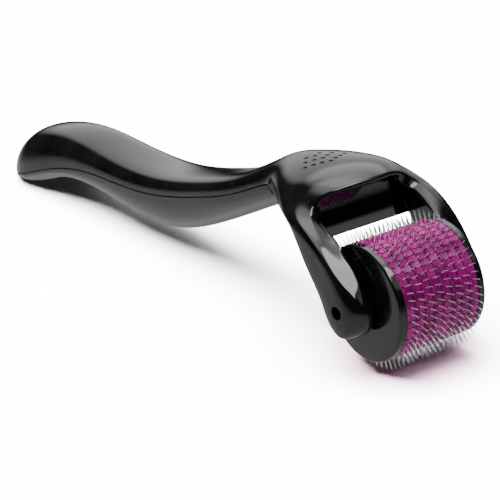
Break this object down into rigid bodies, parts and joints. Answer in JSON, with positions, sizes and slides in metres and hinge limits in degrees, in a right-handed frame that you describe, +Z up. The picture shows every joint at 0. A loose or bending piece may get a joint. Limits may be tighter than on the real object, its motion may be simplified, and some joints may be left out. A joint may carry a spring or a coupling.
{
  "type": "derma roller",
  "caption": "Derma roller: arched two-shell handle with a forked head that carries a free-turning drum of thin discs, each ringed with fine needles.",
  "frame": {"origin": "on the floor the roller lies on, under the middle of its box", "axes": "+X along the drum's axle, +Y from the drum towards the tail of the handle, +Z up"},
  "size_m": [0.0296, 0.1436, 0.0311],
  "materials": {
    "shell_black": "high gloss moulded black",
    "liner_black": "gloss moulded black",
    "cap_black": "high gloss moulded black",
    "core_grey": "matt moulded",
    "disc_magenta": "translucent magenta",
    "needle_steel": "bright ground steel"
  },
  "bodies": {
    "handle": {"upper_shell": "shell_black", "lower_shell": "shell_black", "head_liner": "liner_black"},
    "roller": {"core_shaft": "core_grey", "left_end_cap": "cap_black", "right_end_cap": "cap_black", "needle_disc_1": "disc_magenta", "needle_disc_2": "disc_magenta", "needle_disc_3": "disc_magenta", "needle_disc_4": "disc_magenta", "needle_disc_5": "disc_magenta", "needle_disc_6": "disc_magenta", "needle_disc_7": "disc_magenta", "needle_disc_8": "disc_magenta", "needle_ring_1": "needle_steel", "needle_ring_2": "needle_steel", "needle_ring_3": "needle_steel", "needle_ring_4": "needle_steel", "needle_ring_5": "needle_steel", "needle_ring_6": "needle_steel", "needle_ring_7": "needle_steel", "needle_ring_8": "needle_steel"}
  },
  "joints": [
    {"name": "roller_spin", "type": "hinge", "parent": "handle", "child": "roller", "pos_m": [0, -0.05965, 0.0122], "axis": [1, 0, 0], "continuous": true}
  ]
}
